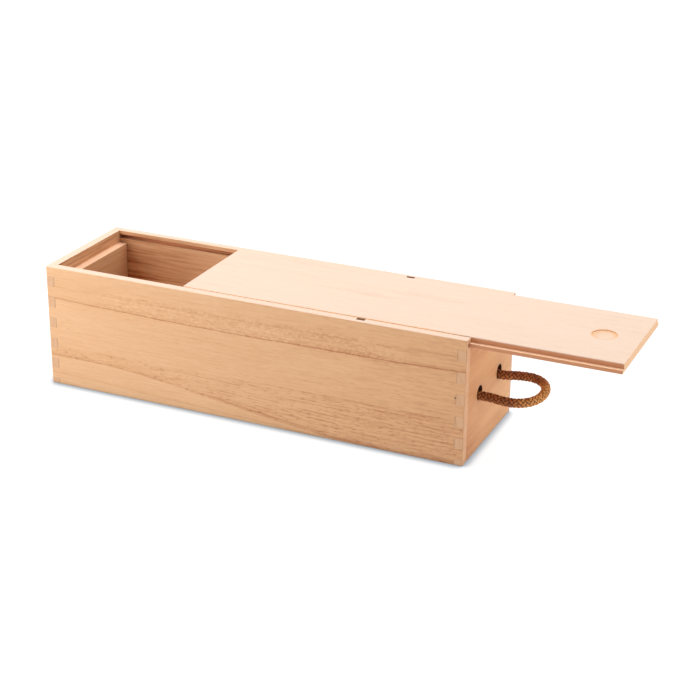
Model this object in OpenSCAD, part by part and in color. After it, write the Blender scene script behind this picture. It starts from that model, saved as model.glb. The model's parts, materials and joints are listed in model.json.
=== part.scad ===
// Wooden gift box for one wine bottle: finger-jointed walls, a sliding lid
// that runs in grooves and out over the lower end board, a spacer board and
// a neck rest inside, and a braided rope handle knotted behind the end board.
// Millimetres. X runs along the box towards the handle, Y towards the back
// wall, Z up. The origin is the centre of the underside.

/* [Box] */
// Length over the two end boards
box_l = 350; // [330:1:400]
// Width over the two side walls
box_w = 106; // [96:1:130]
// Height of the side walls
box_h = 99; // [95:1:125]
// Thickness of the four wall boards
wall_t = 7; // [6:0.5:9]

/* [Corner joints] */
// Height of one finger of a corner joint
finger_h = 8.65; // [6:0.05:14]
// Height of the first joint line below the floor of the lid groove
joint_drop = 1.2; // [0.6:0.1:4]

/* [Lid groove] */
// Height of the lip of side wall that is left above the groove
lip_h = 3.2; // [2.5:0.1:5]
// Height of the groove
groove_h = 3.4; // [3.2:0.1:5]
// Depth of the groove into the side wall
groove_d = 3.5; // [2.5:0.1:4.5]

/* [Sliding lid] */
// Thickness of the tongue that runs in the groove
tongue_t = 2.8; // [2:0.1:3]
// How far the tongue reaches into the groove
tongue_reach = 3; // [1.5:0.1:3.2]
// Thickness of the upper part, between the lips
lid_upper_t = 4; // [3:0.1:6]
// Gap between the upper part and each lip
lid_side_play = 0.4; // [0.2:0.05:1]
// Gap under the tongue
lid_under_play = 0.3; // [0.1:0.05:0.4]
// Gap between the shut lid and the closed end
lid_end_play = 0.2; // [0.1:0.05:1]
// How far the lid stands open
lid_open = 111; // [0:1:200]
// Gap between the top of the handle end and the groove floor
end_top_gap = 0.2; // [0.1:0.1:0.5]

/* [Thumb recess] */
// Diameter of the recess in the lid
recess_d = 18; // [14:0.5:26]
// Distance of its centre from the lid's free end
recess_in = 27; // [18:1:45]
// Depth at its middle
recess_depth = 2.2; // [1.5:0.1:2.8]
// Depth of its upright rim
recess_rim = 0.8; // [0.4:0.1:1.2]

/* [Bottom panel] */
// Thickness of the panel
bottom_t = 4; // [3:0.5:6]
// Width of the rebate that it lies in, under the four walls
rebate_w = 3.5; // [2.5:0.1:4.5]
// Gap between the panel's edge and the side of the rebate
bottom_play = 0.2; // [0.1:0.05:0.5]

/* [Bottle fittings] */
// Diameter of the bottle that the box is made for
bottle_d = 76; // [70:1:80]
// Thickness of the spacer board behind the bottle's base
spacer_t = 7; // [5:0.5:12]
// Gap between the spacer's ends and the side walls
spacer_play = 0.6; // [0.3:0.1:1.5]
// Thickness of the neck rest
rest_t = 6; // [4:0.5:9]
// Middle of the neck rest, from the outer face of the closed end
rest_at = 266; // [240:1:285]
// Depth of the upright slots that hold the neck rest
slot_d = 3.3; // [2:0.1:4.2]
// Gap all round the neck rest in its slots
slot_play = 0.15; // [0.05:0.05:0.3]
// Width of the notch for the bottle's neck
notch_w = 33; // [28:1:40]
// Gap between the lid and the top of both fittings
fitting_drop = 3.7; // [1:0.1:12]

/* [Rope handle] */
// Diameter of the rope
rope_d = 7; // [5:0.1:8]
// Diameter of the two holes for the rope
hole_d = 11.4; // [9:0.1:14]
// Distance between the two holes
hole_spacing = 43; // [38:1:46]
// Height of the holes' centres
hole_z = 46.2; // [44:0.2:60]
// Distance from the end face to the line that the loop swings about
swing_out = 5; // [4.8:0.1:7]
// Gap between the swinging loop and the rope ends held in the holes
swing_gap = 0.3; // [0.2:0.1:0.6]
// Diameter of the knots inside the box
knot_d = 18; // [16:0.5:22]
// How much of a knot is pressed flat against the board
knot_flat = 2.5; // [2:0.1:4]
// Length of the cut rope end that stands out of a knot
tail_l = 5; // [3:0.5:10]

/* [Hidden] */
$fn = 48;

front = -1;
back = 1;
cut = 1; // how far a cutting solid runs past the face that it opens

// Inside of the box
inner_l = box_l - 2 * wall_t;
inner_w = box_w - 2 * wall_t;
end_x = box_l / 2;
inner_x = inner_l / 2;
inner_y = inner_w / 2;
floor_z = bottom_t;

// Levels of the lid and its groove
groove_top = box_h - lip_h;
groove_floor = groove_top - groove_h;
lid_z = groove_floor + lid_under_play;
tongue_top = lid_z + tongue_t;
lid_top = tongue_top + lid_upper_t;
lid_l = box_l - wall_t - lid_end_play;
lid_x = -inner_x + lid_end_play + lid_open;

// The ends' fingers, counted down from the first joint line
joint_top = groove_floor - joint_drop;
finger_pitch = 2 * finger_h;
finger_tops = [for (z = [joint_top : -finger_pitch : 0.01]) z];

// Neck rest and its slots
rest_x = rest_at - end_x;
fitting_top = lid_z - fitting_drop;
neck_z = floor_z + bottle_d / 2;

// The rope lies on the bottom of its holes
rope_z = hole_z - (hole_d - rope_d) / 2;
rope_y = hole_spacing / 2;
swing_x = end_x + swing_out;
rope_sides = 10;
dome_angles = [85, 60, 40, 20];

// Half of the loop's route: out from the end face, sideways from the middle
// of the box, and up from the level of the holes
half_route = [[9, 22.2, 0.3], [13, 23.3, 0.5], [17.5, 24.3, 0.5], [22, 24.8, 0.5],
              [26.5, 24.5, 0.5], [30.7, 23, 0.4], [34.4, 20.4, 0.3], [37.5, 16.8, 0.2],
              [39.8, 12.3, 0.1], [41.4, 6.8, 0]];
loop_tip = [42, 0, 0];

// ---- Shared shapes ----

// A block given by its lowest and highest corners
module block(low, high) {
    translate(low) cube(high - low);
}

// The rebate for the bottom panel, cut out of all four walls
module bottom_rebate() {
    block([-inner_x - rebate_w, -inner_y - rebate_w, -cut],
          [inner_x + rebate_w, inner_y + rebate_w, floor_z]);
}

// The ends' fingers at one corner, or the sockets that take them
module corner_fingers(end, side) {
    for (top = finger_tops)
        block([min(end * inner_x, end * end_x), min(side * inner_y, side * box_w / 2),
               max(0, top - finger_h)],
              [max(end * inner_x, end * end_x), max(side * inner_y, side * box_w / 2), top]);
}

// ---- Walls ----

module side_wall(side) {
    outer = side * box_w / 2;
    inner = side * inner_y;
    groove = side * (inner_y + groove_d);
    slot = side * (inner_y + slot_d);
    difference() {
        block([-end_x, min(outer, inner), 0], [end_x, max(outer, inner), box_h]);
        for (end = [-1, 1]) corner_fingers(end, side);
        bottom_rebate();
        // the lid groove runs out at the handle end
        block([-inner_x, min(groove, inner - side * cut), groove_floor],
              [end_x + cut, max(groove, inner - side * cut), groove_top]);
        // the neck rest's slot is open at the top
        block([rest_x - rest_t / 2 - slot_play, min(slot, inner - side * cut), floor_z],
              [rest_x + rest_t / 2 + slot_play, max(slot, inner - side * cut), box_h + cut]);
    }
}

module end_wall(end, height) {
    difference() {
        union() {
            block([min(end * inner_x, end * end_x), -inner_y, 0],
                  [max(end * inner_x, end * end_x), inner_y, height]);
            for (side = [front, back]) corner_fingers(end, side);
        }
        bottom_rebate();
    }
}

module front_side() {
    color("burlywood") side_wall(front);
}

module back_side() {
    color("burlywood") side_wall(back);
}

module closed_end() {
    color("tan") end_wall(-1, box_h);
}

module handle_end() {
    color("tan") difference() {
        end_wall(1, groove_floor - end_top_gap);
        for (side = [front, back])
            translate([inner_x - cut, side * rope_y, hole_z])
                rotate([0, 90, 0]) cylinder(d = hole_d, h = wall_t + 2 * cut);
    }
}

module bottom_panel() {
    reach_x = inner_x + rebate_w - bottom_play;
    reach_y = inner_y + rebate_w - bottom_play;
    color("wheat") block([-reach_x, -reach_y, 0], [reach_x, reach_y, floor_z]);
}

// ---- Fittings inside ----

module base_spacer() {
    color("wheat") block([-inner_x, spacer_play - inner_y, floor_z],
                         [spacer_t - inner_x, inner_y - spacer_play, fitting_top]);
}

module neck_rest() {
    reach = inner_y + slot_d - slot_play;
    color("wheat") difference() {
        block([rest_x - rest_t / 2, -reach, floor_z], [rest_x + rest_t / 2, reach, fitting_top]);
        translate([rest_x - rest_t / 2 - cut, 0, neck_z])
            rotate([0, 90, 0]) cylinder(d = notch_w, h = rest_t + 2 * cut);
        block([rest_x - rest_t / 2 - cut, -notch_w / 2, neck_z],
              [rest_x + rest_t / 2 + cut, notch_w / 2, fitting_top + cut]);
    }
}

// ---- Sliding lid ----

// Upright rim with a dished floor
module thumb_recess() {
    dish = recess_depth - recess_rim;
    dish_r = (pow(recess_d / 2, 2) + pow(dish, 2)) / (2 * dish);
    translate([lid_x + lid_l - recess_in, 0, lid_top - recess_depth]) intersection() {
        cylinder(d = recess_d, h = recess_depth + cut);
        translate([0, 0, dish_r]) sphere(dish_r, $fn = 96);
    }
}

module sliding_lid() {
    tongue_y = inner_y + tongue_reach;
    upper_y = inner_y - lid_side_play;
    color("bisque") difference() {
        union() {
            block([lid_x, -tongue_y, lid_z], [lid_x + lid_l, tongue_y, tongue_top]);
            block([lid_x, -upper_y, lid_z], [lid_x + lid_l, upper_y, lid_top]);
        }
        thumb_recess();
    }
}

// ---- Rope handle ----

function unit(v) = v / norm(v);
function turned(list) = [for (i = [len(list) - 1 : -1 : 0]) list[i]];
function on_side(p, side) = [end_x + p[0], side * p[1], rope_z + p[2]];

swing_start = [swing_x, -rope_y, rope_z];
swing_stop = [swing_x, rope_y, rope_z];
loop_route = concat([swing_start], [for (p = half_route) on_side(p, front)],
                    [on_side(loop_tip, front)],
                    [for (p = turned(half_route)) on_side(p, back)], [swing_stop]);

// Direction of the route at each point
function heading(path, i) =
    unit(path[min(i + 1, len(path) - 1)] - path[max(i - 1, 0)]);

// Ring of points round a centre, square to a direction
function ring(centre, along, r) =
    let (across = unit(cross(along, [0, 0, 1])), up = cross(across, along))
    [for (k = [0 : rope_sides - 1])
        let (a = (k + 0.5) * 360 / rope_sides) centre + r * (cos(a) * across + sin(a) * up)];

// Rope along the loop's route, with a half ball at each end
module rope_tube(path, r) {
    last = len(path) - 1;
    first_way = unit(path[1] - path[0]);
    last_way = unit(path[last] - path[last - 1]);
    rings = concat(
        [for (a = dome_angles) ring(path[0] - r * sin(a) * first_way, first_way, r * cos(a))],
        [ring(path[0], first_way, r)],
        [for (i = [1 : last - 1]) ring(path[i], heading(path, i), r)],
        [ring(path[last], last_way, r)],
        [for (a = turned(dome_angles))
            ring(path[last] + r * sin(a) * last_way, last_way, r * cos(a))]);
    n = rope_sides;
    count = len(rings);
    walls = [for (i = [0 : count - 2], k = [0 : n - 1], half = [0, 1])
        let (a = i * n + k, b = i * n + (k + 1) % n)
        half == 0 ? [a, b, a + n] : [b, b + n, a + n]];
    caps = concat([for (k = [1 : n - 2]) [0, k + 1, k]],
                  [for (k = [1 : n - 2]) let (e = (count - 1) * n) [e, e + k, e + k + 1]]);
    polyhedron([for (one = rings) each one], concat(walls, caps));
}

module rope_loop() {
    color("saddlebrown") rope_tube(loop_route, rope_d / 2);
}

// Rope end in its hole, with the knot that holds it behind the board
module rope_end(side) {
    stub_end = swing_x - rope_d / 2 - swing_gap;
    knot_x = inner_x - knot_d / 2 + knot_flat;
    tail_x = knot_x - knot_d / 2 - tail_l;
    translate([0, side * rope_y, rope_z]) rotate([0, 90, 0]) rotate_extrude() {
        translate([0, tail_x]) square([rope_d / 2, stub_end - tail_x]);
        intersection() {
            translate([0, knot_x]) circle(d = knot_d);
            translate([0, inner_x - knot_d]) square(knot_d);
        }
    }
}

module front_knot() {
    color("sienna") rope_end(front);
}

module back_knot() {
    color("sienna") rope_end(back);
}

front_side();
back_side();
closed_end();
handle_end();
bottom_panel();
base_spacer();
neck_rest();
sliding_lid();
rope_loop();
front_knot();
back_knot();
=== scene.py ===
import json
import math
import bmesh
import bpy
import numpy as np
from mathutils import Matrix, Vector

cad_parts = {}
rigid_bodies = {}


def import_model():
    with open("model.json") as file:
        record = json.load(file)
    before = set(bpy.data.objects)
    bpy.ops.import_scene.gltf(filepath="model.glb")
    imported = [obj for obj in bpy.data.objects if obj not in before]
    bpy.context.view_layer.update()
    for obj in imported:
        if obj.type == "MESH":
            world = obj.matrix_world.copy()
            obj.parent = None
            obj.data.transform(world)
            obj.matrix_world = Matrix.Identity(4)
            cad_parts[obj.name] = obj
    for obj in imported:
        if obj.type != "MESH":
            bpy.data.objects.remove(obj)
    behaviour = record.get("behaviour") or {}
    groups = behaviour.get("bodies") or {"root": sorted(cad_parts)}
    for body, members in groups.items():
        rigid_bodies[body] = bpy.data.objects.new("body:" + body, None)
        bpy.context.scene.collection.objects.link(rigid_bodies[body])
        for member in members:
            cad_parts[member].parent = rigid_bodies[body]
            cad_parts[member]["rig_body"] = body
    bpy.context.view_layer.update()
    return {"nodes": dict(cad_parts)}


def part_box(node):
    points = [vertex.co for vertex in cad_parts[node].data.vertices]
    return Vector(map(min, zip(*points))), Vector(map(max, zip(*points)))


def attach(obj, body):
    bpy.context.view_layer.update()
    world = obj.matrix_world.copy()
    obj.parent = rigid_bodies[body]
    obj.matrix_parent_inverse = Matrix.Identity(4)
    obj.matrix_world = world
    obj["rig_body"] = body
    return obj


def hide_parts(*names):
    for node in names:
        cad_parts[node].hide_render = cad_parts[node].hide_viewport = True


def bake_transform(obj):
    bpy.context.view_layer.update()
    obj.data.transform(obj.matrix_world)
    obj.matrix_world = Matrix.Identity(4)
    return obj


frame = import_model()
mm = 0.001
endBoard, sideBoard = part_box("handle_end"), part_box("back_side")
innerFace, endFace = endBoard[0].x, endBoard[1].x
outX, inX = endFace / mm, innerFace / mm  # mm from the box's middle to its outer and inner faces
outY, inY = sideBoard[1].y / mm, sideBoard[0].y / mm


# shader maths as Python: a Wire is one output, and a Net builds one tree
class Wire:
    def __init__(self, net, socket):
        self.net = net
        self.socket = socket

    def __add__(self, other):
        return self.net.sum("ADD", self, other)

    def __radd__(self, other):
        return self.net.sum("ADD", other, self)

    def __sub__(self, other):
        return self.net.sum("SUBTRACT", self, other)

    def __rsub__(self, other):
        return self.net.sum("SUBTRACT", other, self)

    def __mul__(self, other):
        return self.net.sum("MULTIPLY", self, other)

    def __truediv__(self, other):
        return self.net.sum("DIVIDE", self, other)

    def __mod__(self, other):
        return self.net.sum("FLOORED_MODULO", self, other)

    def __pow__(self, other):
        return self.net.sum("POWER", self, other)

    def __lt__(self, other):
        return self.net.sum("LESS_THAN", self, other)

    def __abs__(self):
        return self.net.sum("ABSOLUTE", self)

    def __floor__(self):
        return self.net.sum("FLOOR", self)

    def rise(self, low, high, start=0.0, end=1.0):  # a soft step from start to end
        values = {0: self, 1: low, 2: high, 3: start, 4: end}
        return self.net.add("ShaderNodeMapRange", {"interpolation_type": "SMOOTHSTEP"}, values)

    def within(self, low, high, soft):  # 1 between both, fading to 0 over the soft width
        return self.rise(low - soft, low) * (1 - self.rise(high, high + soft))

    def also(self, name):  # another output of the same node
        return Wire(self.net, self.socket.node.outputs[name])


class Net:
    def __init__(self, tree):
        self.tree = tree
        tree.nodes.clear()

    def add(self, kind, settings=None, values=None, output=0):
        node = self.tree.nodes.new(kind)
        for name, setting in (settings or {}).items():
            setattr(node, name, setting)
        for place, value in (values or {}).items():
            if isinstance(value, Wire):
                self.tree.links.new(value.socket, node.inputs[place])
            else:
                node.inputs[place].default_value = value
        return Wire(self, node.outputs[output]) if node.outputs else node

    def sum(self, operation, *values):
        return self.add("ShaderNodeMath", {"operation": operation}, dict(enumerate(values)))

    def mix(self, share, first, second, way="MIX"):
        settings = {"data_type": "RGBA", "blend_type": way}
        return self.add("ShaderNodeMix", settings, {0: share, 6: first, 7: second}, 2)

    def ramp(self, tone, places, colours):  # the colours, each at its place on the way from 0 to 1
        found = self.add("ShaderNodeValToRGB", None, {"Fac": tone})
        elements = found.socket.node.color_ramp.elements
        while len(elements) < len(places):
            elements.new(0.5)
        for element, place, colour in zip(elements, places, colours):
            element.position = place
            element.color = colour
        return found

    def join(self, red, green, blue):  # three numbers as one colour
        return self.add("ShaderNodeCombineColor", None, {0: red, 1: green, 2: blue})

    def times(self, colour, mask, share):  # the colour times a share where the mask is 1
        tint = mask * (share - 1) + 1
        return self.mix(1.0, colour, self.join(tint, tint, tint), "MULTIPLY")

    def noise(self, spot, sizes, shift=0.0, detail=2.0):  # about -1 to 1, sizes in the spot's own units
        scaled = {k: spot[k] / sizes[k] + shift for k in range(3)}
        vector = self.add("ShaderNodeCombineXYZ", None, scaled)
        found = self.add("ShaderNodeTexNoise", None, {"Vector": vector, "Scale": 1.0, "Detail": detail})
        return found * 2 - 1


def paint(red, green, blue):  # a screen colour from 0 to 255 as a linear one
    def linear(value):
        share = value / 255
        return share / 12.92 if share <= 0.04045 else ((share + 0.055) / 1.055) ** 2.4
    return (linear(red), linear(green), linear(blue), 1.0)


def farFrom(first, second):  # how far a place is from where both are 0
    return (first * first + second * second) ** 0.5


def newMaterial(name):
    material = bpy.data.materials.new(name)
    material.use_nodes = True
    return material, Net(material.node_tree)


def finishMaterial(net, colour, roughness, height, look):  # wood and rope shine as little
    raised = {"Strength": look["bump"], "Distance": look["bumpDepth"], "Height": height}
    values = {
        "Base Color": colour,
        "Roughness": roughness,
        "Specular IOR Level": 0.3,
        "Normal": net.add("ShaderNodeBump", None, raised),
    }
    shader = net.add("ShaderNodeBsdfPrincipled", None, values)
    net.add("ShaderNodeOutputMaterial", None, {"Surface": shader})


def addObject(name, mesh):
    piece = bpy.data.objects.new(name, mesh)
    bpy.context.scene.collection.objects.link(piece)
    return piece


def applyModifiers(piece):  # the finished mesh takes the place of the live one
    bpy.context.view_layer.update()
    graph = bpy.context.evaluated_depsgraph_get()
    mesh = bpy.data.meshes.new_from_object(
        piece.evaluated_get(graph), preserve_all_data_layers=True, depsgraph=graph)
    piece.modifiers.clear()
    piece.data = mesh
    return piece


view = {  # the camera, where the photo was taken from
    "place": (0.53187, -1.07470, 0.54852),
    "turn": 23.623,  # degrees to the left of straight on
    "down": 22.980,
    "roll": 0.783,
    "lens": 85.64,
    "nearest": 0.05,  # anything closer isn't drawn
}


def makeCamera():
    turn, down, roll = (math.radians(view[name]) for name in ("turn", "down", "roll"))
    ahead = Vector((-math.sin(turn) * math.cos(down), math.cos(turn) * math.cos(down), -math.sin(down)))
    level = Vector((math.cos(turn), math.sin(turn), 0))
    upright = level.cross(ahead)
    right = level * math.cos(roll) + upright * math.sin(roll)
    up = upright * math.cos(roll) - level * math.sin(roll)
    data = bpy.data.cameras.new("camera")
    data.lens = view["lens"]
    data.clip_start = view["nearest"]
    camera = addObject("camera", data)
    turned = Matrix((right, up, -ahead)).transposed().to_4x4()
    camera.matrix_world = Matrix.Translation(view["place"]) @ turned
    bpy.context.scene.camera = camera


makeCamera()
print("camera set")


rope = {
    "diameter": 7.0 * mm,
    "height": 44.0 * mm,  # of the rope's middle where it lies in the holes
    "side": 21.5,  # mm from the box's middle to each hole
    "hingeOut": 5,  # mm from the end face to the line that the loop swings about
    # one half of the loop: mm out from the end face, to the side and up from the rope's height
    "halfRoute": [
        (0, 21.5, 0), (5, 21.5, 0), (9, 22.2, 0.3), (13, 23.3, 0.5), (17.5, 24.3, 0.5),
        (22, 24.8, 0.5), (26.5, 24.5, 0.5), (30.7, 23, 0.4), (34.4, 20.4, 0.3),
        (37.5, 16.8, 0.2), (39.8, 12.3, 0.1), (41.4, 6.8, 0),
    ],
    "tip": (42, 0, 0),
    "bend": 9,  # mm over which the rope bends when the loop swings
    # mm along the rope past the tip of the loop, and how much painted light the bend gets there
    "wornAndLit": ((-34, -16, 8, 24), (0, 1, 1, 0)),
    "ringGap": 0.22,  # mm between the mesh's rings
    "fine": 60,  # points between two corners of a line while it is measured out
}
braid = {
    "Strands each way": 6,
    "Lay": 16.8 * mm,  # length of one turn of a strand
    "Relief": 0.62 * mm,
    "Proud": 0.2,  # share of the relief that stands out past the rope's diameter
    "Points round": 80,
}
crowns = {  # how a strand's height falls off to its sides and to its ends: power and depth
    "across": (2.2, 0.95),
    "run": (2.4, 0.75),
}
knot = {
    # share of the way along it, and how thick the rope is there in mm
    "thick": ((0, 0.05, 0.12, 0.86, 0.93, 1), (7.0, 6.4, 5.4, 5.4, 6.2, 6.7)),
    "wornAndLit": 0.35,  # how worn the rope is at the cut end
    "contact": 4.9,  # mm between the middles of two strands that press on each other
    "step": 2.2,  # mm between the points while it is tightened
    "spread": (3.6, 2.0, 0.6),  # mm size of the loose knot along, across and up
    "lead": 14,  # mm of straight rope at both ends of the loose knot
    "pull": 0.02,  # mm that each end moves a round
    "reach": 2.1,  # how far the loose knot's polynomial runs to both sides
    "apart": 1.9,  # links closer along the rope than this share of the contact don't press
    "rounds": 700,
    "presses": 8,  # times a round that the strands push apart
    "links": 3,  # times after each that the links go back to their length
    "settle": 60,  # rounds before the ends are pulled
    "stiff": 0.01,  # share by which a point moves towards its neighbours' middle a round
    "taut": 1.03,  # stretch of the first few links at which it is tight
    "boardSide": 7.8,  # mm from the knot's middle to the board
    "tailSide": -12.6,  # mm from its middle to the cut end
}


def smoothLine(corners, step):  # an evenly stepped curve through the corners
    corners = np.array(corners, float)
    held = np.vstack([2 * corners[0] - corners[1], corners, 2 * corners[-1] - corners[-2]])
    t = np.linspace(0, 1, rope["fine"], endpoint=False)[:, None]
    spans = []
    for before, start, end, after in zip(held, held[1:], held[2:], held[3:]):
        bend = 2 * before - 5 * start + 4 * end - after
        turn = 3 * start - before - 3 * end + after
        spans.append(start + 0.5 * ((end - before) * t + bend * t ** 2 + turn * t ** 3))
    fine = np.vstack(spans + [corners[-1:]])
    gone = np.r_[0, np.cumsum(np.linalg.norm(np.diff(fine, axis=0), axis=1))]
    even = np.linspace(0, gone[-1], round(gone[-1] / step) + 1)
    return np.column_stack([np.interp(even, gone, fine[:, k]) for k in range(3)])


def loopLine():
    toInner = (innerFace - endFace) / mm
    oneSide = [(toInner, rope["side"], 0), (toInner / 2, rope["side"], 0)] + rope["halfRoute"]
    corners = oneSide + [rope["tip"]] + [(out, -side, up) for out, side, up in reversed(oneSide)]
    line = smoothLine(corners, rope["ringGap"])
    return line[::-1] * mm + np.array([endFace, 0, rope["height"]])


def looseKnot():  # a long overhand knot with straight ends, from a polynomial
    t = np.linspace(knot["reach"], -knot["reach"], 2000)
    curls = np.column_stack([t ** 3 - 3 * t, t ** 4 - 4 * t ** 2, t ** 5 - 10 * t]) * knot["spread"]
    start = (curls[0, 0] + knot["lead"], 0, 0)
    end = (curls[-1, 0] - knot["lead"], 0, 0)
    line = np.vstack([start, curls, end])
    gone = np.r_[0, np.cumsum(np.linalg.norm(np.diff(line, axis=0), axis=1))]
    even = np.linspace(0, gone[-1], int(gone[-1] / knot["step"]) + 1)
    return np.column_stack([np.interp(even, gone, line[:, k]) for k in range(3)]), even[1]


def pressApart(points, pairs):  # strands that touch push each other away
    one, two = pairs
    gap = points[one] - points[two]
    far = np.linalg.norm(gap, axis=1)
    close = far < knot["contact"]
    push = gap[close] * ((knot["contact"] - far[close]) / far[close] / 2)[:, None]
    move = np.zeros_like(points)
    count = np.zeros(len(points))
    for ends, way in ((one[close], 1), (two[close], -1)):
        np.add.at(move, ends, way * push)
        np.add.at(count, ends, 1)
    return points + move / np.maximum(count, 1)[:, None]


def keepLength(points, length):  # each link goes back to its length, odd ones and then even ones
    for first in (0, 1):
        starts = np.arange(first, len(points) - 1, 2)
        link = points[starts + 1] - points[starts]
        size = np.linalg.norm(link, axis=1)[:, None]
        move = link * (size - length) / size / 2
        points[starts] += move
        points[starts + 1] -= move
    return points


def tightKnot():  # the knot is pulled tight, a little a round
    points, length = looseKnot()
    pairs = np.triu_indices(len(points), k=round(knot["apart"] * knot["contact"] / length))
    for turn in range(knot["rounds"]):
        if turn > knot["settle"]:
            points[0, 0] += knot["pull"]
            points[-1, 0] -= knot["pull"]
        ends = points[[0, -1]].copy()
        points[1:-1] += knot["stiff"] * ((points[:-2] + points[2:]) / 2 - points[1:-1])
        for _ in range(knot["presses"]):
            points = pressApart(points, pairs)
            for _ in range(knot["links"]):
                points = keepLength(points, length)
            points[[0, -1]] = ends
        stretch = np.linalg.norm(np.diff(points[:7], axis=0), axis=1).mean() / length
        if turn > knot["settle"] and stretch > knot["taut"]:
            break
    return smoothLine(points, rope["ringGap"])


def knotLine(pulled, side):  # cut to length, and set behind its hole
    kept = pulled[(pulled[:, 0] < knot["boardSide"]) & (pulled[:, 0] > knot["tailSide"])]
    kept = kept - kept[0]
    kept[:, 1] *= side  # the back knot is tied the other way round
    return kept * mm + np.array([innerFace, side * rope["side"] * mm, rope["height"]])


def braidTree():
    tree = bpy.data.node_groups.new("braidedRope", "GeometryNodeTree")
    sockets = {"Geometry": "Geometry", "Strands each way": "Float", "Lay": "Float", "Relief": "Float",
               "Proud": "Float", "Points round": "Int", "Yarn": "Material"}
    for name, kind in sockets.items():
        tree.interface.new_socket(name=name, in_out="INPUT", socket_type="NodeSocket" + kind)
    tree.interface.new_socket(name="Geometry", in_out="OUTPUT", socket_type="NodeSocketGeometry")
    net = Net(tree)
    given = net.add("NodeGroupInput", output="Geometry")
    names = ("Strands each way", "Lay", "Relief", "Proud", "Points round")
    strands, lay, relief, proud, pointsRound = (given.also(name) for name in names)

    def stored(name):
        return net.add("GeometryNodeInputNamedAttribute", {"data_type": "FLOAT"}, {"Name": name})

    def store(shape, name, value):
        values = {"Geometry": shape, "Name": name, "Value": value}
        return net.add("GeometryNodeStoreNamedAttribute", {"data_type": "FLOAT"}, values)

    line = net.add("GeometryNodeMeshToCurve", None, {"Mesh": given})
    line = store(line, "alongRope", net.add("GeometryNodeSplineParameter", output="Length"))
    circle = {"Resolution": pointsRound, "Radius": 1.0}
    ring = net.add("GeometryNodeCurvePrimitiveCircle", None, circle)
    share = net.add("GeometryNodeInputIndex") / pointsRound
    ring = store(ring, "roundRope", share)
    ring = store(ring, "ringAcross", net.sum("COSINE", share * math.tau))
    ring = store(ring, "ringUp", net.sum("SINE", share * math.tau))
    swept = {"Curve": line, "Profile Curve": ring, "Scale": stored("thickness"), "Fill Caps": True}
    tube = net.add("GeometryNodeCurveToMesh", None, swept)

    # each strand goes over two and under two (4 in all), and shows as a row of small crowns
    leftward = (stored("alongRope") / lay + stored("roundRope")) * strands
    rightward = (stored("alongRope") / lay - stored("roundRope")) * strands
    leftStrand, rightStrand = math.floor(leftward), math.floor(rightward)
    leftOver = (leftStrand + rightStrand) % 4 < 1.5

    def crown(across, run):  # 1 on top of a strand, lower at its sides and ends
        (sideBend, sideFall), (endBend, endFall) = crowns["across"], crowns["run"]
        return (1 - abs(across * 2) ** sideBend * sideFall) * (1 - abs(run) ** endBend * endFall)

    leftAcross, rightAcross = leftward - leftStrand - 0.5, rightward - rightStrand - 0.5
    leftRun, rightRun = (leftStrand + rightward) % 4 - 1, (rightStrand + leftward) % 4 - 3
    across = leftAcross * leftOver + rightAcross * (1 - leftOver)
    run = leftRun * leftOver + rightRun * (1 - leftOver)
    height = crown(across, run)
    strand = (leftStrand % strands) * leftOver + (rightStrand % strands + strands) * (1 - leftOver)
    tint = net.add("FunctionNodeRandomValue", {"data_type": "FLOAT"}, {"ID": strand, "Seed": 5}, 1)

    normal = net.add("GeometryNodeInputNormal")
    depth = (height - 1 + proud) * relief
    sunk = net.add("ShaderNodeVectorMath", {"operation": "SCALE"}, {0: normal, 3: depth})
    up = net.add("ShaderNodeSeparateXYZ", None, {0: normal}, "Z")
    values = {"strandTop": height, "strandAcross": across, "strandRun": run,
              "strandTint": tint, "facingUp": up}
    for name, value in values.items():
        tube = store(tube, name, value)
    tube = net.add("GeometryNodeSetPosition", None, {"Geometry": tube, "Offset": sunk})
    tube = net.add("GeometryNodeSetShadeSmooth", None, {"Geometry": tube, "Shade Smooth": True})
    tube = net.add("GeometryNodeRealizeInstances", None, {"Geometry": tube})
    tube = net.add("GeometryNodeSetMaterial", None, {"Geometry": tube, "Material": given.also("Yarn")})
    net.add("NodeGroupOutput", None, {"Geometry": tube})
    return tree


yarn = {
    "deep": paint(92, 44, 24),
    "warm": paint(170, 100, 52),
    "light": paint(232, 168, 98),
    "stops": (0.12, 0.55, 1.0),  # the tones that have these three colours
    "tone": 0.41,  # the rope's own tone, to which all of the following is added
    "plies": 0.10,
    "twist": (5, 2.2),  # how many plies show across a strand, and along half a crown
    "fuzz": 0.14,
    "fuzzSize": 0.35 * mm,
    "patches": 0.08,
    "patchSize": 7 * mm,
    "valleyShade": 0.10,  # painted shade: how dark it is between the strands
    "valleyTop": (0.08, 0.66),  # heights on a strand between which that fades
    "mixed": 0.34,  # how much the strands differ
    "wornAndLit": 0.40,  # painted light: how much lighter the bend is, where the light reaches it
    "upper": 0.08,  # painted shade: how much darker the upper side is than the lower one, under the lid
    "roughness": 0.72,
    "bump": 0.5,
    "bumpDepth": 0.12 * mm,
}


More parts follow.
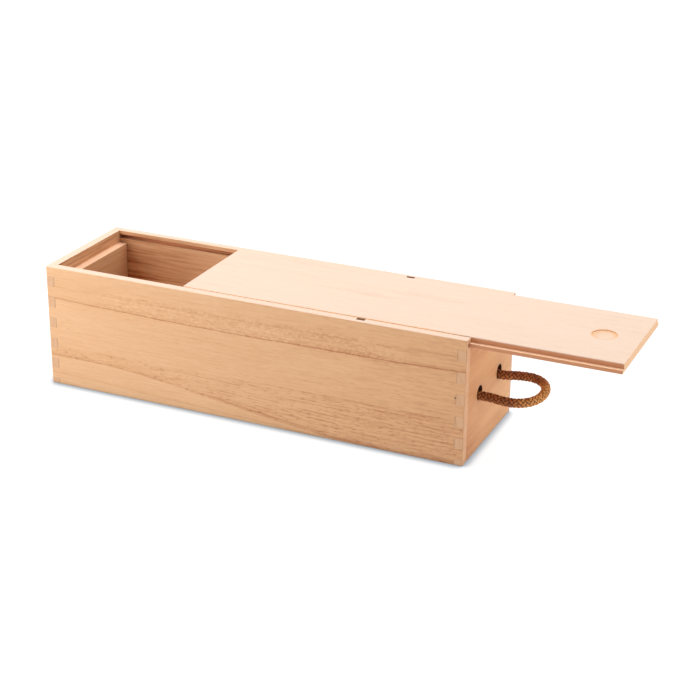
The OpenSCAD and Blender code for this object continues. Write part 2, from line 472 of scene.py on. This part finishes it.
def yarnMaterial():
    material, net = newMaterial("braidedYarn")

    def stored(name):
        return net.add("ShaderNodeAttribute", {"attribute_name": name}, output="Fac")

    half = rope["diameter"] / 2
    spot = [stored("alongRope"), stored("ringAcross") * half, stored("ringUp") * half]
    names = ("strandTop", "strandAcross", "strandRun", "strandTint", "wornAndLit", "facingUp")
    top, across, run, tint, wornAndLit, up = (stored(name) for name in names)
    acrossTwist, alongTwist = yarn["twist"]
    ply = 1 - abs((across * acrossTwist + run * alongTwist) % 1 - 0.5) * 2
    fuzz = net.noise(spot, (yarn["fuzzSize"],) * 3, detail=3)
    patches = net.noise(spot, (yarn["patchSize"],) * 3, shift=4)
    dyed = (tint - 0.5) * yarn["mixed"] + ply * yarn["plies"]
    dyed = dyed + fuzz * yarn["fuzz"] + patches * yarn["patches"]
    # painted light on the loop's bend (on the knots, wear towards the cut end) and painted shade on the upper
    # side
    tone = yarn["tone"] + dyed + wornAndLit * yarn["wornAndLit"] - up * (1 - wornAndLit * 0.5) * yarn["upper"]
    colour = net.ramp(tone, yarn["stops"], (yarn["deep"], yarn["warm"], yarn["light"]))
    # painted shade between the strands
    shade = top.rise(*yarn["valleyTop"], yarn["valleyShade"], 1.0)
    colour = net.mix(1.0, colour, net.join(shade, shade * 0.96, shade * 0.92), "MULTIPLY")
    height = ply * 0.5 + fuzz * 0.5
    finishMaterial(net, colour, yarn["roughness"] + fuzz * 0.08, height, yarn)
    return material


def braidRope(name, line, thickness, wornAndLit, tree, material):
    links = [(k, k + 1) for k in range(len(line) - 1)]
    mesh = bpy.data.meshes.new(name)
    mesh.from_pydata([tuple(point) for point in line], links, [])
    for attribute, values in (("thickness", np.array(thickness) / 2), ("wornAndLit", wornAndLit)):
        data = mesh.attributes.new(attribute, "FLOAT", "POINT").data
        data.foreach_set("value", np.asarray(values, np.float32))
    piece = addObject(name, mesh)
    modifier = piece.modifiers.new("braid", "NODES")
    modifier.node_group = tree
    settings = dict(braid, Yarn=material)
    for socket in tree.interface.items_tree:
        if socket.in_out == "INPUT" and socket.name in settings:
            modifier[socket.identifier] = settings[socket.name]
    return applyModifiers(piece)


def makeRope():
    tree, material = braidTree(), yarnMaterial()
    line = loopLine()
    # painted light on the bend, by how far along the rope each ring lies from the tip
    pastTip = (np.arange(len(line)) - np.argmax(line[:, 0])) * rope["ringGap"]
    wornAndLit = np.interp(pastTip, *rope["wornAndLit"])
    thick = np.full(len(line), rope["diameter"])
    loop = braidRope("handleRope", line, thick, wornAndLit, tree, material)
    pulled = tightKnot()
    for name, side in (("frontKnotTied", -1), ("backKnotTied", 1)):
        path = knotLine(pulled, side)
        share = np.linspace(0, 1, len(path))
        thick = np.interp(share, *knot["thick"]) * mm
        tied = braidRope(name, path, thick, share * knot["wornAndLit"], tree, material)
        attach(tied, "box")
        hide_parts("front_knot" if side < 0 else "back_knot")
    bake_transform(loop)
    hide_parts("rope_loop")
    length = float(np.linalg.norm(np.diff(line, axis=0), axis=1).sum())


makeRope()
print("rope braided")


marks = {  # mm along the grain, across it and into the board, then the noise's shift and detail
    "ringSway": ((160, 46, 46), 0, 2), "ringPatches": ((120, 14, 14), 3, 2),
    "fibres": ((28, 1.5, 1.5), 5, 3), "threads": ((6, 0.65, 0.65), 6, 2),
    "flecks": ((7, 0.8, 0.9), 7, 2), "clouds": ((95, 20, 20), 9, 2),
    "streaks": ((50, 1.7, 40), 13, 2), "lineSway": ((90, 400, 400), 17, 2),
    "fanBends": ((60, 7, 400), 19, 2), "fanWaver": ((13, 4, 400), 20, 1),
    "fanGaps": ((34, 3.2, 400), 21, 2), "fanDashes": ((4.5, 0.9, 400), 22, 1),
    "fanEdge": ((70, 400, 400), 23, 1), "lineWaver": ((22, 400, 400), 29, 2),
    "curls": ((5.0, 2.6, 8), 31, 1), "fineCurls": ((2.6, 1.3, 8), 33, 1),
}
wood = {  # what every board has in common, sizes in mm
    "grain": "sides",  # which way it runs: along the sides, across the ends, or along a flat board
    "pale": paint(235, 191, 149),
    "middle": paint(222, 171, 126),
    "deep": paint(172, 102, 62),
    "stops": (0.12, 0.5, 1.0),  # the tones that have these three colours
    "endGrain": paint(220, 176, 138),
    "edge": paint(220, 170, 130),
    # painted highlight: the colour of the rims' upward faces
    "top": paint(242, 211, 189),
    "seed": 0.0,
    "base": 0.42,  # the board's own tone, to which all of the following is added
    "shading": (0.0, 0.0, 0.0),  # painted light and shade along the board: at the left, in the middle and at the right
    "clouds": 0.10,
    "fibres": 0.19,
    "threads": 0.13,
    "flecks": 0.16,
    "inside": (0.14, -0.10),  # painted shade and light on the inner faces: darker at the spacer, lighter further on
    "insideFrom": (-150, -70),
    "streaks": 0.56,  # on the inner faces
    "rings": 0.20,
    "ringGap": 5.2,
    "late": (0.40, 0.93),  # where in a ring the dark late wood starts and where it is darkest
    "pith": (50, 46),  # where the rings' middle lies, across the board and into it
    "tilt": 0.035,  # how much that middle drifts across along the board
    "wander": 3.0,  # how far the rings sway
    "pores": (0.7, 0.7, 0.7),
    "fan": None,  # growth lines that spread
    "lines": [],  # single growth lines
    "curl": None,  # a band of curly grain: from and to upwards, from and to along, and its strength
    "roughness": 0.62,
    "bump": 0.45,
    "bumpDepth": 0.10 * mm,
}
# lines that open like a fan between a falling lower edge and a nearly level upper one
frontFan = {
    "low": (24.3, 0.8), "lowFrom": -142, "lowTo": 104,  # heights left and right, and where it falls
    "high": (33.5, 39), "count": 12, "strength": 0.30, "edge": 0.25,
}
backFan = {
    "low": (4.0, 31.0), "lowFrom": -110, "lowTo": 150,
    "high": (38, 47), "count": 11, "strength": 0.2, "edge": 0.24,
}
# a growth line: height at the left end, the middle and the right end, thickness and strength
frontLines = [
    ((73.6, 71.2, 74.4), 1.0, 0.30), ((83.4, 82.6, 85.5), 1.4, 0.08), ((9.5, 3.0, -8.0), 1.4, 0.10),
]
backLines = [((60.0, 63.5, 61.0), 0.9, 0.34), ((72.5, 77.0, 74.5), 1.3, 0.16)]
# the fittings' top colour is a painted highlight on their upward faces
fitting = dict(wood, grain="ends", inside=(0.0, 0.0), streaks=0.16, top=paint(252, 206, 172))
boardLooks = {
    "front_side": dict(
        wood, fan=frontFan, lines=frontLines, rings=0.0, curl=(73, 84, -100, 90, 0.17),
        # painted light at the left, painted shade towards the right
        shading=(-0.05, 0.0, 0.14), threads=0.18, flecks=0.23),
    "back_side": dict(
        wood, fan=backFan, lines=backLines, rings=0.0, curl=(46, 62, -60, 140, 0.12), seed=23.7),
    "closed_end": dict(
        wood, grain="ends", pith=(24, 60), tilt=-0.06, wander=3.5, seed=11.3, rings=0.14),
    "handle_end": dict(
        wood, grain="ends", pith=(8, 70), tilt=-0.03, wander=5.0, seed=17.9, rings=0.10, ringGap=7.5,
        pale=paint(238, 190, 142), middle=paint(226, 169, 118), deep=paint(176, 100, 54),
        # painted shade towards the front corner
        base=0.54, shading=(0.16, 0.0, -0.03), clouds=0.18, fibres=0.12, threads=0.06, flecks=0.06),
    "bottom_panel": dict(wood, grain="flat", pith=(12, 40), tilt=0.05, seed=31.1),
    "base_spacer": dict(fitting, pith=(45, -120), tilt=0.08, seed=41.9, ringGap=4.2, base=0.44),
    "neck_rest": dict(fitting, pith=(20, -90), tilt=0.05, seed=47.3, ringGap=4.6, base=0.34),
    "sliding_lid": dict(
        wood, grain="flat", pith=(8, 85), tilt=0.012, wander=2.0, ringGap=9.0, seed=53.3, rings=0.10,
        pale=paint(239, 213, 194), middle=paint(235, 207, 185), deep=paint(214, 165, 126),
        # the lid's edge colour is painted shade on its sides, its top colour a painted highlight on the
        # tongue's top
        endGrain=paint(242, 192, 144), edge=paint(196, 126, 80), top=paint(255, 208, 168),
        inside=(0.0, 0.0), streaks=0.0, clouds=0.12, fibres=0.26, threads=0.16, flecks=0.26),
}


fanShape = {
    "sway": (0.9, 1.2),  # mm by which the lower and the upper edge sway
    "bends": 0.045, "waver": 0.016,  # share of the fan's height by which its lines do
    "sharp": 0.10, "fading": (0.25, 0.8),  # a line's lower edge, and where it fades and how much shows
    "gaps": (-0.35, 0.45), "dashes": 0.24, "ground": 0.03,
    "ends": (0.02, 0.9, 0.06),  # share of the height where it starts, where it ends and how softly
    "edgeRise": (-0.6, 0.3), "edgeFade": 3.8,  # mm, the one heavier line along the lower edge
}
lineShape = {
    "sway": 0.8, "waver": 0.5,  # mm
    "glow": (-0.4, 0.3), "glowReach": 7, "glowShare": 0.35,  # the soft band above the line
}


def fanTone(mark, fan, along, across, sway):  # lines that spread, sharp below and fading above
    lowSway, highSway = fanShape["sway"]
    low = along.rise(fan["lowFrom"], fan["lowTo"], *fan["low"]) + sway * lowSway
    high = along.rise(-outX, outX, *fan["high"]) + sway * highSway
    share = (across - low) / (high - low) + mark("fanBends") * fanShape["bends"]
    share = share + mark("fanWaver") * fanShape["waver"]
    turn = share * fan["count"] % 1
    fadeFrom, faded = fanShape["fading"]
    ridge = (1 - turn.rise(0.0, fanShape["sharp"])) + turn.rise(fadeFrom, 1.0) ** 2 * faded
    broken = mark("fanGaps").rise(*fanShape["gaps"])
    dashes = mark("fanDashes").rise(0.1, 0.5) * fanShape["dashes"]
    tone = share.within(*fanShape["ends"]) * (ridge * broken * fan["strength"] + dashes + fanShape["ground"])
    above = across - low
    edge = above.rise(*fanShape["edgeRise"]) * (1 - above.rise(fanShape["edgeRise"][1], fanShape["edgeFade"]))
    return tone + edge * mark("fanEdge").rise(-0.6, 0.4, 0.45, 1.0) * fan["edge"]


def lineTone(mark, line, order, along, across, sway):  # one bowed line, fading above
    (left, middle, right), thick, strength = line
    half = along / outX
    bow = middle + half * ((right - left) / 2) + half * half * ((right + left) / 2 - middle)
    above = across - bow - sway * lineShape["sway"] - mark("lineWaver", order) * lineShape["waver"]
    sharp = above.rise(-thick * 0.8, 0) * (1 - above.rise(0, thick * 0.9))
    glowFrom, glowTop = lineShape["glow"]
    glow = above.rise(glowFrom, glowTop) * (1 - above.rise(glowTop, thick * lineShape["glowReach"])) ** 2
    return sharp * strength + glow * (strength * lineShape["glowShare"])


def curlTone(mark, curl, along, across):  # a band of short curly strokes
    low, high, start, end, strength = curl
    here = across.within(low, high, 4) * along.within(start, end, 60)
    strokes = 1 - abs(mark("curls")).rise(0.0, 0.42)
    return (strokes - 0.5 + mark("fineCurls") * 0.6) * here * strength


def growthTone(mark, look, along, across):  # what the lines that one board shows add to its tone
    sway = mark("lineSway")
    tones = [lineTone(mark, line, k, along, across, sway) for k, line in enumerate(look["lines"])]
    if look["fan"]:
        tones.append(fanTone(mark, look["fan"], along, across, sway))
    if look["curl"]:
        tones.append(curlTone(mark, look["curl"], along, across))
    return sum(tones)


facing = {  # how far a face is turned to an axis, where it starts to count and where it counts in full
    "end": (0.55, 0.9), "up": (0.5, 0.85), "square": (0.6, 0.9), "side": (0.5, 0.8), "eased": (0.3, 0.6),
}


def insideBox(x, y):  # 1 between the walls' inner faces, 0 in them and outside
    return (1 - abs(x).rise(inX + 0.1, inX + 0.3)) * (1 - abs(y).rise(inY + 0.1, inY + 0.3))


def woodMaterial(name, look, extra):
    material, net = newMaterial(name)
    place = net.add("ShaderNodeTexCoord", output="Object")
    inMm = net.add("ShaderNodeVectorMath", {"operation": "SCALE"}, {0: place, 3: 1 / mm})
    x = net.add("ShaderNodeSeparateXYZ", None, {0: inMm})
    y, z = x.also("Y"), x.also("Z")
    normal = net.add("ShaderNodeTexCoord", output="Normal")
    faceX = net.add("ShaderNodeSeparateXYZ", None, {0: normal})
    faceY, faceZ = faceX.also("Y"), faceX.also("Z")
    along, across, into, endwise, reach = {
        "sides": (x, z, y, faceX, outX),
        "ends": (y, z, x, faceY, outY),
        "flat": (x, y, z, faceX, outX),
    }[look["grain"]]
    spot = (along, across, into)

    def mark(kind, order=0):
        size, shift, detail = marks[kind]
        return net.noise(spot, size, look["seed"] + shift + order, detail)

    # year rings round a middle outside the board, drifting slowly
    ringAcross = across - look["pith"][0] + along * look["tilt"]
    radius = farFrom(ringAcross, into - look["pith"][1]) + mark("ringSway") * look["wander"]
    turn = (radius / look["ringGap"]) % 1
    lateFrom, darkest = look["late"]
    late = turn.rise(lateFrom, darkest) ** 2 * (1 - turn.rise(darkest, 1.0))
    patchy = mark("ringPatches").rise(-0.5, 0.6)

    fibre, thread = mark("fibres"), mark("threads")
    fleck = mark("flecks").rise(0.22, 0.60)
    # painted light and shade along the board
    left, middle, right = look["shading"]
    tone = along.rise(-reach, 0, left, middle) + along.rise(0, reach, 0, right - middle) + look["base"]
    tone = tone + mark("clouds") * look["clouds"] + fibre * look["fibres"] + thread * look["threads"]
    tone = tone + fleck * look["flecks"] + late * patchy * look["rings"]
    # streaks on the inner faces, and painted shade there that gives way to painted light further along
    streaksAndShade = mark("streaks") * look["streaks"] + x.rise(*look["insideFrom"], *look["inside"])
    tone = tone + insideBox(x, y) * streaksAndShade + growthTone(mark, look, along, across)
    colour = net.ramp(tone, look["stops"], (look["pale"], look["middle"], look["deep"]))

    # end grain: pores in place of fibres
    pores = net.noise((x, y, z), look["pores"], look["seed"] + 19)
    endMask = abs(endwise).rise(*facing["end"])
    endColour = net.mix(pores.rise(-0.5, 0.7) * 0.22 + late * 0.12, look["endGrain"], look["deep"])
    colour = net.mix(endMask * 0.9, colour, endColour)
    colour = extra(net, colour, look, (x, y, z), (faceX, faceY, faceZ))

    height = fibre * 0.5 + thread * 0.3 - fleck * 0.5 - late * 0.2 - pores * endMask * 0.4
    finishMaterial(net, colour, look["roughness"] + fibre * 0.05, height, look)
    return material


walls = {  # mm, where the walls are worked and where shade and highlight are painted on them, and the colours found there
    "rim": (97, 98),  # painted highlight: up from here the upward top edges are pale
    # painted shade along the foot, up to these heights
    "footShade": (0.2, 1.5),
    "lighter": (-112, -68),  # along, from here on the inner faces get more light
    "groove": (92.5, 96.0), "grooveEnd": 51,  # heights, and how far it reaches into the wall
    # painted shade in the lid's groove, from the open stretch to the dark corners
    "grooveShadeFrom": 118, "grooveShadeTo": 166, "grooveShadeOpen": paint(226, 152, 106), "grooveShadeCorner": paint(146, 72, 38),
    "slot": (87.7, 94.3), "slotEnd": 49.6, "slotShade": paint(112, 50, 26),
    "pinKnot": (167.6, 53.4), "pinColour": paint(70, 38, 22),  # along and up on the front side
    "pin": (0.45, 0.85), "pinHalo": (0.5, 2.4),  # from its middle
    # the bore colour: dark end grain and painted shade inside the holes
    "holeHeight": 46.2, "hole": (5.75, 5.95), "holeRing": (5.9, 7.0), "boreGrainAndShade": paint(74, 32, 16),
    "handleEnd": (160, 161),  # along, from here on a face belongs to the handle end
    "besideWallShade": paint(120, 54, 28),  # painted shade where a fitting meets a wall
}
shares = {  # how strongly a colour is laid over the wood's own
    # painted highlight: the rims, the tongue's top, the fittings' tops; painted shade: the grooves, the
    # slots, the lid's sides, the recess's near rim, beside the walls; grain with painted shade: the holes,
    # the recess's wall
    "rim": 0.9, "boardEnd": 0.9, "groove": 0.92, "slot": 0.85, "pin": 0.9, "finger": 0.8, "boreGrainAndShade": 0.94,
    "paintedShade": 0.9, "tongue": 0.95, "recess": 0.2, "lip": 0.6, "cutter": 0.4, "recessWall": 0.62,
    "fittingHighlight": 0.7, "besideWallShade": 0.78,
}
shades = {  # what the wood's own colour is multiplied by
    # painted shade on the rounded upright corners, along the foot and in the inside corners; painted light
    # further along the inner faces
    "corner": 0.86, "footShade": 0.84, "lighter": 1.2, "pinHalo": 0.9, "fingerSide": 0.88,
    "insideCornerShade": 0.6, "holeRing": 0.86,
}


def outerTouches(net, colour, look, spot, face):  # painted highlight on the upward rims, painted shade on the rounded upright corners and along the foot
    up = spot[2]
    # painted highlight on the rims' upward faces
    rim = face[2].rise(*facing["up"]) * up.rise(*walls["rim"])
    colour = net.mix(rim * shares["rim"], colour, look["top"])
    # painted shade on the rounded upright corners
    corner = abs(face[0]).within(0.35, 0.8, 0.15) * abs(face[1]).within(0.35, 0.8, 0.15)
    colour = net.times(colour, corner, shades["corner"])
    # painted shade along the foot
    return net.times(colour, 1 - up.rise(*walls["footShade"]), shades["footShade"])


def sideTouches(net, colour, look, spot, face):  # light board ends, painted light further in on the inner faces, painted shade in the grooves and the slots
    x, y, z = spot
    colour = outerTouches(net, colour, look, spot, face)
    boardEnd = abs(face[0]).rise(*facing["square"]) * abs(x).rise(outX - 1, outX - 0.4)
    colour = net.mix(boardEnd * shares["boardEnd"], colour, look["edge"])
    colour = net.times(colour, insideBox(x, y) * x.rise(*walls["lighter"]), shades["lighter"])
    groove = abs(y).within(inY + 0.4, walls["grooveEnd"], 0.2) * z.within(*walls["groove"], 0.2)
    groove = groove * x.rise(-inX - 0.3, -inX - 0.1)
    # painted shade in the groove, darker towards both ends
    paintedShade = net.mix(abs(x).rise(walls["grooveShadeFrom"], walls["grooveShadeTo"]), walls["grooveShadeOpen"], walls["grooveShadeCorner"])
    colour = net.mix(groove * shares["groove"], colour, paintedShade)
    slot = x.within(*walls["slot"], 0.1) * abs(y).within(inY + 0.1, walls["slotEnd"], 0.1)
    return net.mix(slot * shares["slot"], colour, walls["slotShade"])


def frontTouches(net, colour, look, spot, face):  # the same, and one small knot
    colour = sideTouches(net, colour, look, spot, face)
    away = farFrom(spot[0] - walls["pinKnot"][0], spot[2] - walls["pinKnot"][1])
    halo = (1 - away.rise(*walls["pinHalo"])) * abs(face[1])
    colour = net.times(colour, halo, shades["pinHalo"])
    pin = (1 - away.rise(*walls["pin"])) * abs(face[1])
    return net.mix(pin * shares["pin"], colour, walls["pinColour"])


def endTouches(net, colour, look, spot, face):  # glue lines at the fingers, painted shade in the inside corners, drilled holes dark with end grain and painted shade
    x, y, z = spot
    faceX, faceY = face[:2]
    finger = abs(faceX).rise(*facing["square"]) * abs(y).rise(inY - 0.1, inY + 0.3)
    colour = net.mix(finger * shares["finger"], colour, look["edge"])
    colour = outerTouches(net, colour, look, spot, face)
    sideOn = abs(faceY).rise(*facing["square"]) * abs(y).rise(outY - 0.5, outY - 0.2)
    fingerSide = sideOn * (1 - abs(x).rise(inX + 0.3, inX + 0.9))
    colour = net.times(colour, fingerSide, shades["fingerSide"])
    # painted shade in the inside corners
    insideCornerShade = (1 - abs(x).rise(inX + 0.1, inX + 0.3)) * abs(y).rise(inY - 1, inY)
    colour = net.times(colour, insideCornerShade, shades["insideCornerShade"])
    away = farFrom(abs(y) - rope["side"], z - walls["holeHeight"])
    handleEnd = x.rise(*walls["handleEnd"])
    # dark bores: end grain and painted shade inside the holes
    boreGrainAndShade = (1 - away.rise(*walls["hole"])) * (1 - abs(faceX).rise(*facing["side"])) * handleEnd
    colour = net.mix(boreGrainAndShade * shares["boreGrainAndShade"], colour, walls["boreGrainAndShade"])
    return net.times(colour, (1 - away.rise(*walls["holeRing"])) * handleEnd, shades["holeRing"])


lid = {  # mm, the lid's edges and its round thumb recess
    # heights where the painted shade on the lid's sides gives way near its top and on the shelf
    "edgeTop": (98.6, 99.1), "shelf": (97.7, 98.4), "shelfFade": 40,
    "rimTop": (98.0, 98.5), "rimFade": 150, "rimGapLight": paint(255, 206, 148),  # painted light: a warm colour on the lid's sides where they show in the gap beside the rims
    "rimFrom": (-70, 130), "rimShare": (0.35, 0.85),
    "tongue": (95.6, 96.2), "upper": (96.5, 97),
    # the wall colour marks the cutter's rings, and lays cut grain with painted shade on the recess's wall and
    # painted shade along its near rim
    "thumb": 259.0, "radius": 9.0, "floor": paint(240, 200, 160), "wall": paint(240, 184, 128),
    "cutter": (5.3, 6.3), "cutterFade": (-5, 0), "wallFrom": 7.2, "nearSide": (-3, 4),
}


def lidTouches(net, colour, look, spot, face):  # painted shade on the sides, painted light beside the rims, painted highlight on the tongue's top, and the worked recess, its wall darker with cut grain and painted shade, painted shade along its near rim
    x, y, z = spot
    faceY, faceZ = face[1:]
    # painted shade on the lid's sides, lighter at the top and on the shelf
    paintedShade = shares["paintedShade"] - z.rise(*lid["edgeTop"]) * 0.8
    paintedShade = paintedShade * (1 - z.rise(*lid["shelf"]) * x.rise(lid["shelfFade"], outX - 1, 1, 0))
    colour = net.mix(abs(faceY).rise(*facing["side"]) * paintedShade, colour, look["edge"])
    # painted light on the sides' upper band beside the rims
    rimGapLight = abs(faceY).rise(*facing["eased"]) * z.rise(*lid["rimTop"])
    rimGapLight = rimGapLight * x.rise(lid["rimFade"], outX + 1, 1, 0) * x.rise(*lid["rimFrom"], *lid["rimShare"])
    colour = net.mix(rimGapLight, colour, lid["rimGapLight"])
    # painted highlight on the tongue's top
    tongueHighlight = faceZ.rise(*facing["square"]) * (1 - z.rise(*lid["tongue"]))
    colour = net.mix(tongueHighlight * shares["tongue"], colour, look["top"])

    out, radius = x - lid["thumb"], lid["radius"]
    away = farFrom(out, y)
    upper = z.rise(*lid["upper"])
    floor = (1 - away.rise(radius - 0.1, radius + 0.15)) * shares["recess"]
    colour = net.mix(floor * upper, colour, lid["floor"])
    # painted shade along the recess's near rim
    lip = away.within(radius, radius + 0.9, 0.35) * y.rise(*lid["nearSide"], 1, 0) * shares["lip"]
    cutter = away.within(*lid["cutter"], 0.5) * out.rise(*lid["cutterFade"], 1, 0.2) * shares["cutter"]
    # the recess's wall darker: cut grain with painted shade
    wall = away.within(lid["wallFrom"], radius + 0.2, 0.7) * shares["recessWall"]
    for mask in (lip, cutter, wall):
        colour = net.mix(mask * upper, colour, lid["wall"])
    return colour


def fittingTouches(net, colour, look, spot, face):  # painted highlight on top, painted shade close to the walls
    # painted highlight on the upward faces
    colour = net.mix(face[2].rise(*facing["up"]) * shares["fittingHighlight"], colour, look["top"])
    # painted shade where the fitting meets a wall
    beside = abs(spot[1]).rise(inY - 1.6, inY - 0.7)
    return net.mix(beside * shares["besideWallShade"], colour, walls["besideWallShade"])


def plainTouches(net, colour, look, spot, face):
    return colour


boards = {  # node: piece, material slot, and what its material adds
    "front_side": ("frontSide", "side_wood", frontTouches),
    "back_side": ("backSide", "side_wood", sideTouches),
    "closed_end": ("closedEnd", "end_wood", endTouches),
    "handle_end": ("handleEnd", "end_wood", endTouches),
    "bottom_panel": ("bottomPanel", "panel_wood", plainTouches),
    "base_spacer": ("baseSpacer", "fitting_wood", fittingTouches),
    "neck_rest": ("neckRest", "fitting_wood", fittingTouches),
    "sliding_lid": ("slidingLid", "lid_wood", lidTouches),
}
edges = {
    "corner": 1.1 * mm,  # the four upright corners
    "base": 0.8 * mm,
    "rim": 0.35 * mm,  # the walls' top edges
    "joint": 0.14 * mm,  # every other edge
    "loose": 0.25 * mm,  # the edges of the lid and the fittings
    "sharp": math.radians(40),  # only edges sharper than this are eased
    "level": math.radians(0.4),  # faces that differ by less become one
    "same": 0.002 * mm,  # points closer than this become one
    "near": 0.01 * mm,  # how close to a face a point counts as on it
    "steps": 3,  # faces across an eased edge
    "flat": 100,  # how much the wide faces' normals count at their corners
}
loosePieces = ("sliding_lid", "base_spacer", "neck_rest")


def easeOf(first, second, loose):  # how wide the edge between two points is eased
    def both(test):
        return test(first) and test(second)
    outAlong, outAcross = endFace - edges["near"], sideBoard[1].y - edges["near"]
    onEnd, onSide = both(lambda p: abs(p.x) > outAlong), both(lambda p: abs(p.y) > outAcross)
    if onEnd and onSide:
        return edges["corner"]
    if loose:
        return edges["loose"]
    if (onEnd or onSide) and both(lambda p: p.z < edges["near"]):
        return edges["base"]
    if both(lambda p: p.z > sideBoard[1].z - edges["near"]):
        return edges["rim"]
    return edges["joint"]


def keepInside(piece, corners):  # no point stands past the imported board's box
    places = np.empty(len(piece.data.vertices) * 3)
    piece.data.vertices.foreach_get("co", places)
    places = np.clip(places.reshape(-1, 3), corners[0], corners[1])
    piece.data.vertices.foreach_set("co", places.ravel())


def easedBoard(node, name, material):
    mesh = frame["nodes"][node].data.copy()
    shape = bmesh.new()
    shape.from_mesh(mesh)
    bmesh.ops.remove_doubles(shape, verts=shape.verts, dist=edges["same"])
    bmesh.ops.dissolve_limit(shape, angle_limit=edges["level"], verts=shape.verts, edges=shape.edges)
    weights = shape.edges.layers.float.new("bevel_weight_edge")
    for edge in shape.edges:
        if edge.is_manifold and edge.calc_face_angle() > edges["sharp"]:
            first, second = (vertex.co for vertex in edge.verts)
            edge[weights] = easeOf(first, second, node in loosePieces) / edges["corner"]
    for face in shape.faces:
        face.smooth = True
    shape.to_mesh(mesh)
    shape.free()
    mesh.materials.clear()
    mesh.materials.append(material)
    piece = addObject(name, mesh)
    bevel = piece.modifiers.new("ease", "BEVEL")
    bevel.limit_method = "WEIGHT"
    bevel.width = edges["corner"]
    bevel.segments = edges["steps"]
    applyModifiers(piece)
    keepInside(piece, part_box(node))
    piece.modifiers.new("flatFaces", "WEIGHTED_NORMAL").weight = edges["flat"]
    applyModifiers(piece)
    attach(piece, frame["nodes"][node]["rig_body"])
    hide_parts(node)


for node, (name, slot, extra) in boards.items():
    easedBoard(node, name, woodMaterial(name + "Wood", boardLooks[node], extra))
    print("board", name)


studio = {
    "floorSize": 9.0,
    "floor": (0.18, 0.185, 0.19, 1),
    "floorGlow": (0.36, 0.93),  # right beside the box, and in the open
    "contact": 0.0102,  # width of the painted contact shadow, the soft dark line where something stands on the floor
    "contactOpen": (0.46, 0.97),  # how open the floor is where the line is darkest and where it ends
    "contactSamples": 24,
    "cool": ((1.1, -0.1), (1.02, -0.02), (0.95, 0.05)),  # red, green and blue from the glow, cooler in the painted contact shadow
    "sky": (1.0, 0.24),  # near the horizon, and overhead
    "skyRise": (0.04, 0.36),  # how far up the one turns into the other
    "overhead": {"place": (0.06, 0.55, 1.4), "aim": (0.0, 0.0, 0.05), "size": 1.2, "power": 21.0},
    "left": {"place": (-0.45, -0.35, 0.35), "aim": (-0.17, 0.0, 0.05), "size": 0.35, "power": 1.9},
    "right": {"place": (1.0, -0.25, 0.30), "aim": (0.17, 0.0, 0.05), "size": 0.5, "power": 1.7},
}


def softBox(name, light):
    data = bpy.data.lights.new(name, "AREA")
    data.size = light["size"]
    data.energy = light["power"]
    box = addObject(name, data)
    box.location = light["place"]
    box.visible_camera = False
    box.rotation_euler = (Vector(light["aim"]) - Vector(light["place"])).to_track_quat("-Z", "Y").to_euler()


def makeFloor():
    half = studio["floorSize"] / 2
    mesh = bpy.data.meshes.new("floor")
    corners = [(-half, -half, 0), (half, -half, 0), (half, half, 0), (-half, half, 0)]
    mesh.from_pydata(corners, [], [(0, 1, 2, 3)])
    material, net = newMaterial("paleFloor")
    samples, reach = {"samples": studio["contactSamples"]}, {"Distance": studio["contact"]}
    # the floor glows, dimmer where the AO node finds something close: a painted contact shadow
    openness = net.add("ShaderNodeAmbientOcclusion", samples, reach, "AO")
    glow = openness.rise(*studio["contactOpen"], *studio["floorGlow"])
    tint = net.join(*(glow * scale + shift for scale, shift in studio["cool"]))
    values = {"Base Color": studio["floor"], "Roughness": 0.9, "Specular IOR Level": 0.0,
              "Emission Color": tint, "Emission Strength": 1.0}
    shader = net.add("ShaderNodeBsdfPrincipled", None, values)
    net.add("ShaderNodeOutputMaterial", None, {"Surface": shader})
    mesh.materials.append(material)
    addObject("floor", mesh)


def makeSky():  # bright near the horizon, softer overhead
    world = bpy.data.worlds.new("sky")
    world.use_nodes = True
    net = Net(world.node_tree)
    direction = net.add("ShaderNodeTexCoord", output="Generated")
    upward = net.add("ShaderNodeSeparateXYZ", None, {0: direction}, "Z")
    values = {"Color": (1, 1, 1, 1), "Strength": upward.rise(*studio["skyRise"], *studio["sky"])}
    background = net.add("ShaderNodeBackground", None, values)
    net.add("ShaderNodeOutputWorld", None, {"Surface": background})
    bpy.context.scene.world = world


makeFloor()
makeSky()
for name in ("overhead", "left", "right"):
    softBox(name + "Box", studio[name])
bpy.context.scene.view_settings.view_transform = "Standard"
bpy.context.scene.view_settings.look = "None"
print("studio lit")
